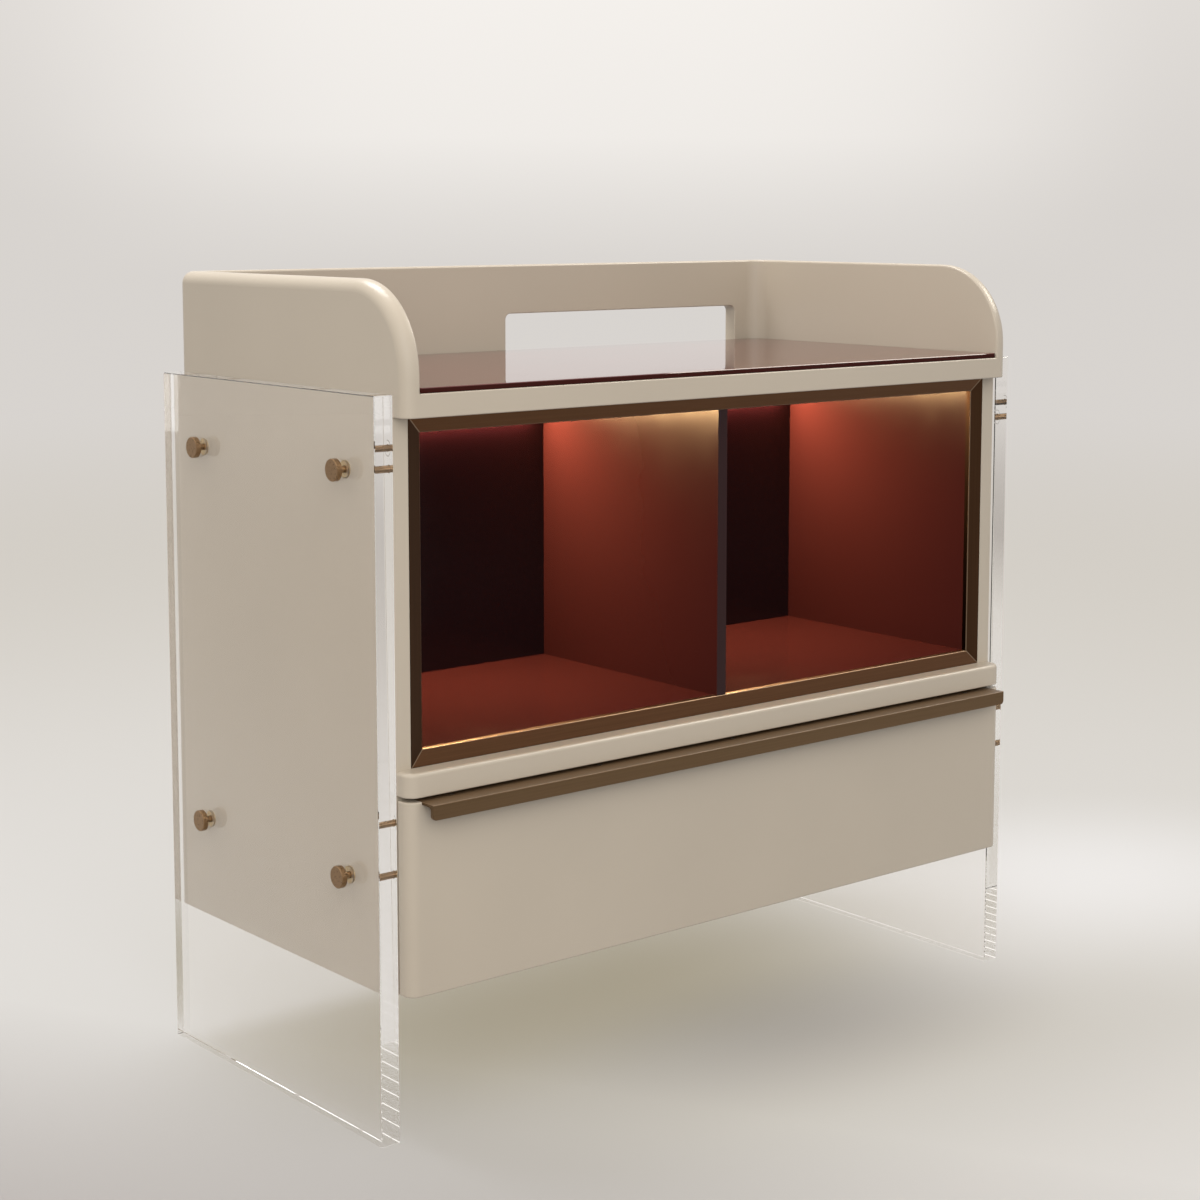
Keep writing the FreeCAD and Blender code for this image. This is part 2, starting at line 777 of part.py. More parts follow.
def front_screw_holes():
    return [front_screw(x, z, screw_clearance) for x, z in front_screw_places()]


def drawer_floor(gap=0.0):
    """Floor panel that stands in the grooves of the four walls, or with a gap the grooves' space."""
    reach_x = box_half - box_side + box_groove
    front = front_rear_y + box_inner_front - box_groove
    rear = box_rear_y - box_back + box_groove
    low = box_low_z + box_floor_rise
    high = low + box_floor
    return box((-reach_x - gap, reach_x + gap), (front - gap, rear + gap), (low - gap, high + gap))


def eased_top(board):
    """Round the long top edges of a drawer wall."""
    def long_top(b):
        return flat(b.ZMin, b.ZMax, box_high_z) and max(b.XMax - b.XMin, b.YMax - b.YMin) > 2 * box_side

    return board.makeFillet(box_top_round, edges_where(board, long_top))


def drawer_side(sign):
    span = (sign * box_half, sign * (box_half - box_side))
    wall = eased_top(box(span, (front_rear_y, box_rear_y), (box_low_z, box_high_z)))
    pilots = [drawer_screw_pilot(sign, y) for y in runner_screw_places()]
    return cut_all(wall, [drawer_floor(box_groove_clearance)] + pilots)


def drawer_cross_wall(y_range, holes):
    reach = box_half - box_side
    wall = eased_top(box((-reach, reach), y_range, (box_low_z, box_high_z)))
    return cut_all(wall, [drawer_floor(box_groove_clearance)] + holes)


def drawer_bumpers():
    thick = front_gap - bumper_clearance
    heights = (base_z + bumper_margin, front_top_z - bumper_margin)
    across = side_inner + side_board / 2
    return [
        rod(vec(sign * across, stile_y, z), vec(0, -1, 0), bumper_diameter, thick)
        for sign in sides.values() for z in heights
    ]


# Telescopic runners. Sections are (distance from the side board, height from the middle).
def runner_bar(sign, section):
    points = [(sign * (side_inner - out), runner_z + up) for out, up in section]
    return along_y(points, (runner_front_y, runner_rear_y))


def mirrored(upper):
    """Closed section from its upper half, listed from the mid-line round to the mid-line."""
    return upper + [(out, -up) for out, up in reversed(upper)]


def runner_sections():
    wall, gap = runner_wall, runner_clearance
    outer_half = runner_height / 2
    outer_tip = runner_space - runner_tip_gap
    outer_flange = outer_half - wall
    outer_lip = outer_flange - runner_lip
    middle_web = wall + runner_screw_head_height + gap
    middle_half = outer_flange - gap
    middle_tip = outer_tip - wall - gap
    middle_flange = middle_half - wall
    middle_lip = middle_flange - runner_lip
    inner_tip = middle_web + wall + gap
    inner_half = middle_lip - gap
    inner_hook = middle_flange - gap
    hook_end = middle_tip - wall - gap
    outer = [(0, outer_half), (outer_tip, outer_half), (outer_tip, outer_lip),
             (outer_tip - wall, outer_lip), (outer_tip - wall, outer_flange), (wall, outer_flange)]
    middle = [(middle_web, middle_half), (middle_tip, middle_half), (middle_tip, middle_lip),
              (middle_tip - wall, middle_lip), (middle_tip - wall, middle_flange),
              (middle_web + wall, middle_flange)]
    inner = [(runner_space, inner_half), (hook_end, inner_half), (hook_end, inner_hook),
             (inner_tip, inner_hook), (inner_tip, inner_half - wall),
             (runner_space - wall, inner_half - wall)]
    return {"outer": mirrored(outer), "middle": mirrored(middle), "inner": mirrored(inner)}


def runner_screw_places():
    length = runner_rear_y - runner_front_y
    return [runner_front_y + share * length for share in runner_screw_share]


def runner_screw(sign, y):
    """Screw from inside the outer member into the side board."""
    seat = vec(sign * (side_inner - runner_wall), y, runner_z)
    return pan_head(seat, vec(sign, 0, 0), runner_screw_head, runner_screw_head_height,
                    runner_screw_shank, runner_screw_length)


def runner_screw_pilot(sign, y):
    seat = vec(sign * (side_inner - runner_wall), y, runner_z)
    width = runner_screw_shank + 2 * screw_clearance
    return rod(seat, vec(sign, 0, 0), width, runner_screw_length + screw_clearance)


def drawer_screw(sign, y):
    """Screw from inside the inner member into the drawer side."""
    seat = vec(sign * (box_half + runner_wall), y, runner_z)
    return pan_head(seat, vec(-sign, 0, 0), runner_screw_head, runner_screw_head_height,
                    runner_screw_shank, drawer_screw_length)


def drawer_screw_pilot(sign, y):
    seat = vec(sign * (box_half + runner_wall), y, runner_z)
    width = runner_screw_shank + 2 * screw_clearance
    return rod(seat, vec(-sign, 0, 0), width, drawer_screw_length + screw_clearance)


# Clear panels and their fixings
for side, sign in sides.items():
    keep("acrylic_panel_" + side, acrylic_panel(sign))
every_bolt = [(sign, y, z) for sign in sides.values() for y, z in bolt_places]
keep("panel_bolts", [panel_bolt(*place) for place in every_bolt])
keep("panel_spacers", [panel_spacer(*place) for place in every_bolt])
keep("threaded_inserts", [threaded_insert(*place) for place in every_bolt])

# Carcass
form = gallery_form()
for side, sign in sides.items():
    keep("side_board_" + side, side_panel(form, sign))
keep("gallery_back", gallery_back(form))
keep("service_back", service_back())
keep("tray_board", tray_board())
keep("mid_shelf", mid_shelf())
keep("bottom_shelf", bottom_shelf())
keep("glass_top", glass_top())
keep("carcass_dowels", [dowel(sign, y, z) for sign in sides.values() for y, z in dowel_places()])
keep("service_back_screws", [back_screw(x, z) for x, z in back_screw_places()])
keep("cable_grommet", cable_grommet())

# Compartment
for place, member in frame_members().items():
    keep("frame_" + place, member)
bay_depth = (liner_front_y, liner_rear_y)
keep("liner_floor", box((-side_inner, side_inner), bay_depth, (shelf_top_z, bay_floor_z)))
keep("liner_ceiling", box((-side_inner, side_inner), bay_depth, (bay_top_z, tray_under_z)))
for side, sign in sides.items():
    keep("liner_" + side, box((sign * bay_half, sign * side_inner), bay_depth, (bay_floor_z, bay_top_z)))
keep("liner_back", liner_back())
keep("bay_divider", box((-divider_thick / 2, divider_thick / 2), (divider_front_y, bay_rear_y),
                        (bay_floor_z, bay_top_z)))

# Lights
for side, sign in sides.items():
    keep("led_channel_" + side, led_channel(sign))
    keep("led_tape_" + side, led_tape(sign))
    keep("led_cover_" + side, led_cover_strip(sign))
    keep("led_lead_" + side, led_lead(sign))
keep("led_end_caps", led_end_caps())
keep("led_driver", led_driver())
keep("driver_screws", [driver_screw(x, z) for x, z in driver_screw_places()])

# Drawer
keep("drawer_front", drawer_front())
keep("drawer_handle", drawer_handle())
keep("handle_screws", [handle_screw(x) for x in handle_screw_places()])
keep("front_screws", [front_screw(x, z) for x, z in front_screw_places()])
for side, sign in sides.items():
    keep("drawer_side_" + side, drawer_side(sign))
keep("drawer_inner_front",
     drawer_cross_wall((front_rear_y, front_rear_y + box_inner_front), front_screw_holes()))
keep("drawer_back", drawer_cross_wall((box_rear_y - box_back, box_rear_y), []))
keep("drawer_floor", drawer_floor())
keep("drawer_bumpers", drawer_bumpers())

# Runners
sections = runner_sections()
for side, sign in sides.items():
    places = runner_screw_places()
    outer = cut_all(runner_bar(sign, sections["outer"]), [runner_screw_pilot(sign, y) for y in places])
    inner = cut_all(runner_bar(sign, sections["inner"]), [drawer_screw_pilot(sign, y) for y in places])
    keep("runner_outer_" + side, outer)
    keep("runner_middle_" + side, runner_bar(sign, sections["middle"]))
    keep("runner_inner_" + side, inner)
every_runner_screw = [(sign, y) for sign in sides.values() for y in runner_screw_places()]
keep("runner_screws", [runner_screw(*place) for place in every_runner_screw])
keep("drawer_runner_screws", [drawer_screw(*place) for place in every_runner_screw])

os.makedirs("parts", exist_ok=True)
for name, shape in finished.items():
    shape.exportStep("parts/" + name + ".step")
print(len(finished), "nodes")
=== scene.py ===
"""Finishes, studio and camera for the record cabinet. Lengths are in metres, colours are linear."""
import math

import bpy
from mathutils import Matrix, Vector


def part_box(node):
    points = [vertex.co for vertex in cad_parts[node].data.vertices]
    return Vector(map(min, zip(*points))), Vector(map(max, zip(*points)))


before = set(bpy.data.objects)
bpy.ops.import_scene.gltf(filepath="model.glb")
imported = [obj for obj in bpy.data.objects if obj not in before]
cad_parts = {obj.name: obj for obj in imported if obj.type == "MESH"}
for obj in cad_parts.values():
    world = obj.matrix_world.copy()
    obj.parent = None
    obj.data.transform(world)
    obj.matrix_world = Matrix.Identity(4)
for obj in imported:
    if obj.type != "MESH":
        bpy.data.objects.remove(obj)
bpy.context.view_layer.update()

# Camera
camera_place = (-1.8323, -2.2006, 1.0126)
camera_tilt = math.radians(83.505)
camera_turn = math.radians(-39.394)
sensor_width = 36.0
camera_lens = 68.94
camera_shift = -0.11

# Backdrop: its colour at the horizon and overhead, and a soft glow low behind the cabinet
backdrop_low = (0.685, 0.655, 0.625)
backdrop_high = (1.18, 1.13, 1.08)
backdrop_rise = math.sin(math.radians(50.0))
backdrop_glow = (0.165, 0.165, 0.161)
glow_towards = (0.6267, 0.7766, 0.0628)
glow_reach = math.cos(math.radians(15.0))
glow_height = 0.03

# Floor: it fades into the backdrop far away; painted shade towards the left front, a painted shadow
# before the cabinet, a painted pool of light to its right, and painted bounce light in its glow
floor_reach = 30.0
floor_sides = 128
floor_colour = (0.30, 0.320, 0.370)
floor_roughness = 0.9
floor_shine = 0.1
# An even glow on the floor that also lightens and warms the shadow under the cabinet: painted bounce
# light
floor_glow_and_painted_bounce = (0.285, 0.242, 0.150)
floor_fade_from = 2.2
floor_fade_to = 9.0
# Painted shade: the floor's colour and glow grow darker towards the left front
floor_painted_dim_colour = (0.290, 0.272, 0.264)
floor_painted_dim_towards = (-0.88, -0.475, 0.0)
floor_painted_dim_from = 0.3
floor_painted_dim_to = 0.8
floor_painted_dim_least = 0.25
# Painted shadow on the floor before the cabinet
floor_painted_shadow_place = (0.12, -0.24, 0.0)
floor_painted_shadow_reach = (0.5, 0.25, 1.0)
floor_painted_shadow_least = 0.55
# Painted pool of light on the floor to the right of the cabinet
floor_painted_light = (0.165, 0.170, 0.192)
floor_painted_light_place = (0.78, -0.05, 0.0)
floor_painted_light_reach = (0.75, 0.55, 1.0)

# Studio lamps
lamp_aim = (0.0, 0.0, 0.5)
overhead_place = (-0.3, 0.8, 2.9)
overhead_size = 1.4
overhead_watts = 37.0
fill_place = (-2.1, -2.75, 2.0)
fill_size = 3.6
fill_watts = 70.0
edge_place = (2.0, -0.9, 2.5)
edge_size = 1.4
edge_watts = 42.0
edge_colour = (1.0, 0.94, 0.82)
light_bounces = 24

# Lights in the bays: the beam from each cover, and the redder wash that reaches the back
lamp_colour = (1.0, 0.60, 0.27)
beam_watts = 12.8
beam_end_gap = 0.013
beam_gap = 0.001
wash_colour = (1.0, 0.32, 0.26)
wash_watts = 1.1
wash_gap = 0.003
wash_drop = 0.012
wash_width = 0.004
cover_colour = (0.8, 0.78, 0.72)
cover_roughness = 0.5
cover_strength = 3.0

# Colours
cream = (0.450, 0.392, 0.311)
burgundy = (0.0195, 0.0050, 0.0057)
liner_dark = (0.0150, 0.0062, 0.0068)
# The bay floor is a lighter copy of the burgundy: painted light
liner_floor_painted_lightening = 1.12
bronze = (0.152, 0.097, 0.053)
# The bolt heads are a lighter copy of the bronze: painted light
bolt_painted_lightening = 1.95
pull_top_colour = (0.160, 0.099, 0.052)
frame_bronze = (0.106, 0.052, 0.026)
# The upright frame members are darker copies of the frame's bronze: painted shade
frame_left_painted_shade = 0.46
frame_right_painted_shade = 0.55
# Painted highlight colour for the frame's mitre lines and its rounded edge round the opening
painted_edge_highlight = (0.22, 0.155, 0.105)
washer_brass = (0.62, 0.48, 0.27)
glass_red = (0.085, 0.012, 0.011)
glass_edge = (0.038, 0.008, 0.006)
acrylic_colour = (0.992, 0.982, 0.970)
beech = (0.52, 0.36, 0.22)
birch = (0.60, 0.46, 0.31)
steel = (0.56, 0.57, 0.58)
aluminium = (0.74, 0.74, 0.74)
white_plastic = (0.78, 0.77, 0.74)
rubber = (0.018, 0.018, 0.018)

# Patterns: the usual range of a noise, cells per metre, depths of bumps, and how far a colour strays
# to both sides
noise_low = 0.3
noise_high = 0.7
lacquer_cloud_cells = 4.0
lacquer_cloud = 0.025
lacquer_sheen_cells = 22.0
orange_peel_cells = 400.0
orange_peel = 0.0000004
faint_peel = 0.0000001
brush_spread = 0.1
brush_depth = 0.00001
wood_roughness = 0.55
grain_dark = 0.80
grain_light = 1.10
pore_cells_per_grain = 6.0
pore_shade = 0.86
pore_depth = 0.00005
mould_cloud_cells = 30.0
mould_cloud = 0.07
mould_texture_cells = 900.0
mould_texture_depth = 0.00003
glass_cloud_cells = 5.0
glass_cloud = 0.1
glass_smear_cells = 14.0

# Cells per metre along each axis, for lines and grain that run one way
along_x = (6.0, 900.0, 900.0)
along_z = (900.0, 900.0, 6.0)
runner_lines = (400.0, 40.0, 400.0)
turned_lines = (300.0, 300.0, 300.0)
wood_along_x = (5.0, 90.0, 120.0)
wood_along_y = (90.0, 5.0, 120.0)

# Roughness, from the smoothest places to the roughest
satin_metal = (0.32, 0.42)
turned_metal = (0.26, 0.34)
glass_smears = (0.02, 0.05)

# Frame: widths of its painted highlights on mitres and opening edge; painted shade on faces looking in
painted_mitre_line = 0.0009
painted_edge_line = 0.0009
inside_from = -0.15
# Painted shade on the frame's faces that look into the opening
inside_painted_shade = 0.35
inside_painted_shade_right = 0.14

# Clear panels, their bolts and the glass top
acrylic_ior = 1.49
glass_ior = 1.52
glass_face_shine = 0.5
glass_edge_shine = 0.04
bolt_head = 0.025
bolt_hole_reach = 0.0048
seat_skin = 0.00003
seat_mirror_below = math.sqrt(1.0 - 1.0 / acrylic_ior ** 2)


def is_link(value):
    return isinstance(value, bpy.types.NodeSocket)


def opaque(colour):
    """A colour with full alpha. A colour that comes from a node stays as it is."""
    return colour if is_link(colour) else (*colour, 1.0)


def shade(colour, factor):
    """A colour made lighter or darker."""
    return tuple(channel * factor for channel in colour)


def put(tree, kind, inputs=None, **settings):
    """Adds a node with its settings, and gives each named input a value or a link."""
    node = tree.nodes.new(kind)
    for name, value in settings.items():
        setattr(node, name, value)
    for socket, value in (inputs or {}).items():
        if is_link(value):
            tree.links.new(value, node.inputs[socket])
        else:
            node.inputs[socket].default_value = value
    return node


def calculate(tree, operation, first, second=0.0):
    return put(tree, "ShaderNodeMath", {0: first, 1: second}, operation=operation).outputs[0]


def combine(tree, operation, first, second):
    """A vector worked out from two others."""
    sockets = {0: first, 1: second}
    return put(tree, "ShaderNodeVectorMath", sockets, operation=operation).outputs["Vector"]


def scaled(tree, vector, factor):
    sockets = {0: vector, "Scale": factor}
    return put(tree, "ShaderNodeVectorMath", sockets, operation="SCALE").outputs["Vector"]


def length(tree, vector):
    return put(tree, "ShaderNodeVectorMath", {0: vector}, operation="LENGTH").outputs["Value"]


def along(tree, vector, direction):
    """How far a vector goes along a direction."""
    sockets = {0: vector, 1: direction}
    return put(tree, "ShaderNodeVectorMath", sockets, operation="DOT_PRODUCT").outputs["Value"]


def axes(tree, vector):
    return put(tree, "ShaderNodeSeparateXYZ", {"Vector": vector}).outputs


def ramp(tree, value, start, end, low=0.0, high=1.0, kind="LINEAR"):
    """A number that goes from low to high while a value goes from start to end."""
    sockets = {"Value": value, "From Min": start, "From Max": end, "To Min": low, "To Max": high}
    return put(tree, "ShaderNodeMapRange", sockets, interpolation_type=kind).outputs["Result"]


def mixed(tree, factor, first, second, kind="MIX"):
    """The first colour where a factor is 0, the second where it is 1."""
    sockets = {0: factor, 6: opaque(first), 7: opaque(second)}
    return put(tree, "ShaderNodeMix", sockets, data_type="RGBA", blend_type=kind).outputs[2]


def socket_name(word):
    return word.replace("_", " ").title().replace("Ior", "IOR")


def surface(name, colour, **sockets):
    """A material with one Principled shader, its plain values set on the shader's own sockets."""
    material = bpy.data.materials.new(name + "_finish")
    material.use_nodes = True
    shader = material.node_tree.nodes["Principled BSDF"]
    shader.inputs["Base Color"].default_value = opaque(colour)
    for word, value in sockets.items():
        shader.inputs[socket_name(word)].default_value = value
    return material, material.node_tree, shader


def feed(tree, shader, **links):
    for word, output in links.items():
        tree.links.new(output, shader.inputs[socket_name(word)])


def show(tree, shader):
    tree.links.new(shader.outputs[0], tree.nodes["Material Output"].inputs["Surface"])


def see_through(tree, shader, share):
    """Lets a share of the rays pass straight through a surface."""
    clear = put(tree, "ShaderNodeBsdfTransparent")
    show(tree, put(tree, "ShaderNodeMixShader", {0: share, 1: shader.outputs[0], 2: clear.outputs[0]}))


def place(tree, stretch=(1.0, 1.0, 1.0)):
    """The object's own coordinates, with more or fewer pattern cells along each axis."""
    coordinates = put(tree, "ShaderNodeTexCoord").outputs["Object"]
    return put(tree, "ShaderNodeMapping", {"Vector": coordinates, "Scale": stretch}).outputs["Vector"]


def upward(tree):
    """How far a face looks up: 1 on top, 0 on an upright face."""
    normal = put(tree, "ShaderNodeNewGeometry").outputs["Normal"]
    return axes(tree, normal)["Z"]


def noise(tree, where, cells=1.0, detail=2.0):
    """A noise from 0 to 1 with so many cells per metre."""
    sockets = {"Vector": where, "Scale": cells, "Detail": detail}
    return put(tree, "ShaderNodeTexNoise", sockets).outputs[0]


def between(tree, factor, low, high):
    """A number that follows a noise's usual range from low to high."""
    return ramp(tree, factor, noise_low, noise_high, low, high)


def blend(tree, factor, first, second):
    """A colour that follows a noise's usual range from the first colour to the second."""
    return mixed(tree, between(tree, factor, 0.0, 1.0), first, second)


def clouded(tree, factor, colour, spread):
    """A colour that strays to both sides with a noise."""
    return blend(tree, factor, shade(colour, 1.0 - spread), shade(colour, 1.0 + spread))


def relief(tree, shader, height, depth):
    """A bump so many metres deep."""
    bump = put(tree, "ShaderNodeBump", {"Height": height, "Distance": depth, "Strength": 1.0})
    feed(tree, shader, normal=bump.outputs["Normal"])


def lacquer(name, colour, rough, shine, peel=orange_peel):
    """Sprayed satin lacquer: faint clouds in the colour and the sheen, and a fine orange peel."""
    material, tree, shader = surface(name, colour, specular_ior_level=shine)
    where = place(tree)
    cloud = noise(tree, where, lacquer_cloud_cells, detail=4.0)
    sheen = noise(tree, where, lacquer_sheen_cells, detail=3.0)
    feed(tree, shader, base_color=clouded(tree, cloud, colour, lacquer_cloud))
    feed(tree, shader, roughness=between(tree, sheen, *rough))
    relief(tree, shader, noise(tree, where, orange_peel_cells), peel)
    return material


def brush(name, colour, stretch, rough):
    """Metal with fine lines along one way: its material, node tree and shader, and its face's colour."""
    material, tree, shader = surface(name, colour, metallic=1.0)
    lines = noise(tree, place(tree, stretch), detail=3.0)
    face = clouded(tree, lines, colour, brush_spread)
    feed(tree, shader, base_color=face, roughness=between(tree, lines, *rough))
    relief(tree, shader, lines, brush_depth)
    return material, tree, shader, face


def brushed(name, colour, stretch, rough):
    """Plain brushed metal."""
    return brush(name, colour, stretch, rough)[0]


def seated(name, colour, seat):
    """
    Turned metal that bears on a clear panel's face, so far from the middle of the cabinet. There it
    doesn't show at the flat angles at which that face is a mirror from inside the panel.
    """
    material, tree, shader, _ = brush(name, colour, turned_lines, turned_metal)
    across = calculate(tree, "ABSOLUTE", axes(tree, place(tree))["X"])
    off_seat = calculate(tree, "ABSOLUTE", calculate(tree, "SUBTRACT", across, seat))
    bears = calculate(tree, "LESS_THAN", off_seat, seat_skin)
    turned_away = put(tree, "ShaderNodeLayerWeight").outputs["Facing"]
    flat = calculate(tree, "GREATER_THAN", turned_away, 1.0 - seat_mirror_below)
    hidden = calculate(tree, "MULTIPLY", bears, flat)
    backface = put(tree, "ShaderNodeNewGeometry").outputs["Backfacing"]
    see_through(tree, shader, calculate(tree, "MAXIMUM", hidden, backface))
    return material


def pull_trim():
    """Brushed bronze whose upper face is matt, so that it doesn't mirror the dark gap behind it."""
    material, tree, shader, face = brush("bronze_pull", bronze, along_x, satin_metal)
    top = upward(tree)
    feed(tree, shader, base_color=blend(tree, top, face, pull_top_colour))
    feed(tree, shader, metallic=between(tree, top, 1.0, 0.0))
    return material


def frame_trim(name, colour, stretch, inside_painted_factor=inside_painted_shade):
    """Brushed bronze with painted highlight lines on its mitres and on the rounded edge round the
    opening, and painted shade on the faces inside it.
    """
    material, tree, shader, face = brush(name, colour, stretch, satin_metal)
    inner_x, outer_x = [corner.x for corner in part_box("frame_right")]
    low_z, inner_low_z = [corner.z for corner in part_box("frame_bottom")]
    inner_high_z, high_z = [corner.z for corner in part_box("frame_top")]
    spot = axes(tree, place(tree))
    across = calculate(tree, "ABSOLUTE", spot["X"])

    # Painted highlight lines along the mitres
    across_less_height = calculate(tree, "SUBTRACT", across, spot["Z"])
    off_top = calculate(tree, "SUBTRACT", across_less_height, outer_x - high_z)
    across_and_height = calculate(tree, "ADD", across, spot["Z"])
    off_foot = calculate(tree, "SUBTRACT", across_and_height, outer_x + low_z)
    off_top = calculate(tree, "ABSOLUTE", off_top)
    off_foot = calculate(tree, "ABSOLUTE", off_foot)
    on_diagonal = calculate(tree, "LESS_THAN", calculate(tree, "MINIMUM", off_top, off_foot), painted_mitre_line)
    at_side = calculate(tree, "GREATER_THAN", across, inner_x - painted_mitre_line)
    on_mitre = calculate(tree, "MULTIPLY", on_diagonal, at_side)

    # Painted highlight line on the rounded edge round the opening
    beside = calculate(tree, "SUBTRACT", across, inner_x)
    above = calculate(tree, "SUBTRACT", spot["Z"], inner_high_z)
    below = calculate(tree, "SUBTRACT", inner_low_z, spot["Z"])
    outside = calculate(tree, "MAXIMUM", beside, calculate(tree, "MAXIMUM", above, below))
    on_edge = calculate(tree, "LESS_THAN", outside, painted_edge_line)

    # Painted shade on the faces that look into the opening
    normal = put(tree, "ShaderNodeNewGeometry").outputs["Normal"]
    looks_in = calculate(tree, "GREATER_THAN", axes(tree, normal)["Y"], inside_from)
    with_painted_lines = mixed(tree, calculate(tree, "MAXIMUM", on_mitre, on_edge), face, painted_edge_highlight)
    feed(tree, shader, base_color=mixed(tree, looks_in, with_painted_lines, shade(colour, inside_painted_factor)))
    return material


def wood(name, colour, stretch):
    """Planed timber: long grain with darker lines and small pores."""
    material, tree, shader = surface(name, colour, roughness=wood_roughness)
    where = place(tree, stretch)
    grain = noise(tree, where, detail=6.0)
    pores = noise(tree, where, pore_cells_per_grain)
    long_grain = blend(tree, grain, shade(colour, grain_dark), shade(colour, grain_light))
    feed(tree, shader, base_color=blend(tree, pores, shade(colour, pore_shade), long_grain))
    relief(tree, shader, pores, pore_depth)
    return material


def moulded(name, colour, rough):
    """Plain moulded plastic or rubber with a fine matt texture."""
    material, tree, shader = surface(name, colour)
    where = place(tree)
    cloud = noise(tree, where, mould_cloud_cells, detail=3.0)
    feed(tree, shader, base_color=clouded(tree, cloud, colour, mould_cloud))
    feed(tree, shader, roughness=between(tree, cloud, *rough))
    relief(tree, shader, noise(tree, where, mould_texture_cells), mould_texture_depth)
    return material


def top_glass():
    """Painted glass: a smooth face over a deep red, darker in the thickness of the edge."""
    material, tree, shader = surface("burgundy_glass", glass_red, ior=glass_ior)
    where = place(tree)
    cloud = noise(tree, where, glass_cloud_cells, detail=3.0)
    smear = noise(tree, where, glass_smear_cells, detail=4.0)
    face = clouded(tree, cloud, glass_red, glass_cloud)
    top = upward(tree)
    feed(tree, shader, base_color=blend(tree, top, glass_edge, face))
    feed(tree, shader, specular_ior_level=between(tree, top, glass_edge_shine, glass_face_shine))
    feed(tree, shader, roughness=between(tree, smear, *glass_smears))
    return material


def clear_acrylic():
    """
    Cast acrylic. Shadow and diffuse rays pass straight through, so the panels don't darken what they
    cover, and so does every ray at the bolt holes, so the bolts show as plain bars.
    """
    material, tree, shader = surface(
        "clear_acrylic", acrylic_colour, transmission_weight=1.0, ior=acrylic_ior, roughness=0.0
    )
    low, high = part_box("panel_bolts")
    middle = (low + high) / 2
    spread = (high - low) / 2 - Vector((0.0, bolt_head / 2, bolt_head / 2))
    spot = axes(tree, place(tree))
    steps = {}
    for axis, centre, offset in (("Y", middle.y, spread.y), ("Z", middle.z, spread.z)):
        from_centre = calculate(tree, "ABSOLUTE", calculate(tree, "SUBTRACT", spot[axis], centre))
        steps[axis] = calculate(tree, "SUBTRACT", from_centre, offset)
    from_bolt = length(tree, put(tree, "ShaderNodeCombineXYZ", steps).outputs["Vector"])
    in_hole = calculate(tree, "LESS_THAN", from_bolt, bolt_hole_reach)
    rays = put(tree, "ShaderNodeLightPath").outputs
    soft_light = calculate(tree, "MAXIMUM", rays["Is Shadow Ray"], rays["Is Diffuse Ray"])
    see_through(tree, shader, calculate(tree, "MAXIMUM", soft_light, in_hole))
    return material


def lamp_cover():
    """The milky cover that spreads the light of the tape behind it."""
    return surface(
        "led_diffuser", cover_colour, roughness=cover_roughness,
        emission_color=opaque(lamp_colour), emission_strength=cover_strength,
    )[0]


# The finish of each slot in the record, and those of nodes that differ from their slot
finishes = {
    "cream_lacquer": lacquer("cream_lacquer", cream, rough=(0.28, 0.32), shine=0.5),
    "burgundy_lacquer": lacquer("burgundy_lacquer", burgundy, rough=(0.18, 0.21), shine=0.21),
    "burgundy_glass": top_glass(),
    "clear_acrylic": clear_acrylic(),
    "bronze": brushed("bronze_along_x", bronze, along_x, satin_metal),
    "washer": seated("washer", washer_brass, seat=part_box("panel_spacers")[1].x),
    "dowel_wood": wood("dowel_wood", beech, wood_along_x),
    "drawer_wood": wood("drawer_wood", birch, wood_along_y),
    "steel": brushed("steel", steel, runner_lines, rough=(0.30, 0.42)),
    "aluminium": brushed("aluminium", aluminium, along_x, rough=(0.35, 0.45)),
    "led_diffuser": lamp_cover(),
    "light_plastic": moulded("light_plastic", white_plastic, rough=(0.42, 0.52)),
    "black_rubber": moulded("black_rubber", rubber, rough=(0.6, 0.75)),
}
wood_across = wood("drawer_wood_across", birch, wood_along_x)
frame_across = frame_trim("frame_along_x", frame_bronze, along_x)
# Painted light: a lighter copy of the bronze for the bolt heads
bolt_bronze_painted_light = shade(bronze, bolt_painted_lightening)
# Painted light: a lighter copy of the burgundy for the bay floor
floor_burgundy_painted_light = shade(burgundy, liner_floor_painted_lightening)
# Painted shade: darker copies of the frame's bronze for the upright members
left_bronze_painted_shade = shade(frame_bronze, frame_left_painted_shade)
right_bronze_painted_shade = shade(frame_bronze, frame_right_painted_shade)
own_finishes = {
    "liner_back": lacquer("burgundy_back", liner_dark, rough=(0.15, 0.19), shine=0.36, peel=faint_peel),
    "liner_floor": lacquer("burgundy_floor", floor_burgundy_painted_light, rough=(0.15, 0.19), shine=0.06),
    "liner_right": lacquer("burgundy_right", burgundy, rough=(0.15, 0.18), shine=0.19),
    "frame_left": frame_trim("frame_left", left_bronze_painted_shade, along_z),
    "frame_right": frame_trim("frame_right", right_bronze_painted_shade, along_z, inside_painted_shade_right),
    "frame_top": frame_across,
    "frame_bottom": frame_across,
    "panel_bolts": seated("bronze_turned", bolt_bronze_painted_light, seat=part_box("acrylic_panel_right")[1].x),
    "drawer_handle": pull_trim(),
    "drawer_inner_front": wood_across,
    "drawer_back": wood_across,
}


def dress_nodes():
    """Gives every node its own finish, or that of its slot, which its plain material is named after."""
    for name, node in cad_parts.items():
        for slot in node.material_slots:
            slot.material = own_finishes.get(name, finishes[slot.material.name])


